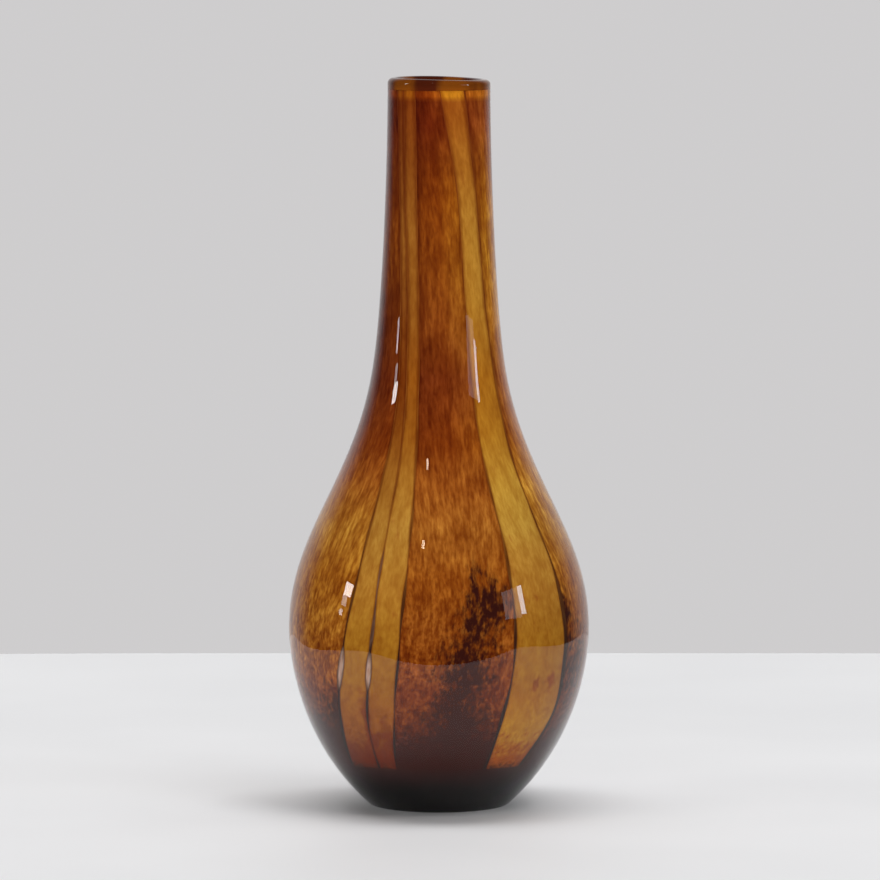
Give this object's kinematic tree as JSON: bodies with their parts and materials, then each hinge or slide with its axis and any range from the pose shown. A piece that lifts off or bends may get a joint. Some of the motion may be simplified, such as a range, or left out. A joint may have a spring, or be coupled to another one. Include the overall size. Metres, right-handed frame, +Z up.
{
  "type": "glass vase",
  "caption": "Hand blown bottle vase of cased art glass: round belly, long neck, fire-polished lip and small flat foot, open at the top for flower stems.",
  "frame": {"origin": "centre of the foot, on the surface that the vase stands on", "axes": "+Z up along the vase's axis, towards the lip; the front faces -Y, with +X to the right of someone looking at the front"},
  "size_m": [0.1322, 0.1322, 0.32],
  "materials": {
    "clear_casing": "clear glass, fire-polished, glossy",
    "lip_glass": "amber brown glass, fire-polished, glossy",
    "lining_glass": "deep amber glass, glossy",
    "dark_glass": "nearly black glass",
    "ochre_glass": "opaque ochre glass with fine upright streaks",
    "mottled_glass": "opaque brown glass with drawn flecks"
  },
  "bodies": {
    "root": {"outer_casing": "clear_casing", "lip": "lip_glass", "inner_gather": "lining_glass", "base_pad": "dark_glass", "front_left_outer_stripe": "ochre_glass", "front_left_inner_stripe": "ochre_glass", "front_right_stripe": "ochre_glass", "back_right_stripe": "ochre_glass", "back_inner_stripe": "ochre_glass", "back_outer_stripe": "ochre_glass", "left_stripe": "ochre_glass", "front_panel": "mottled_glass", "right_panel": "mottled_glass", "back_right_panel": "mottled_glass", "back_left_panel": "mottled_glass", "left_panel": "mottled_glass", "front_left_outer_stripe_thread": "dark_glass", "front_left_inner_stripe_thread": "dark_glass", "front_right_stripe_thread": "dark_glass", "back_right_stripe_thread": "dark_glass", "back_inner_stripe_thread": "dark_glass", "back_outer_stripe_thread": "dark_glass", "left_stripe_thread": "dark_glass", "front_panel_thread": "dark_glass", "right_panel_thread": "dark_glass", "back_right_panel_thread": "dark_glass", "back_left_panel_thread": "dark_glass", "left_panel_thread": "dark_glass"}
  },
  "joints": []
}
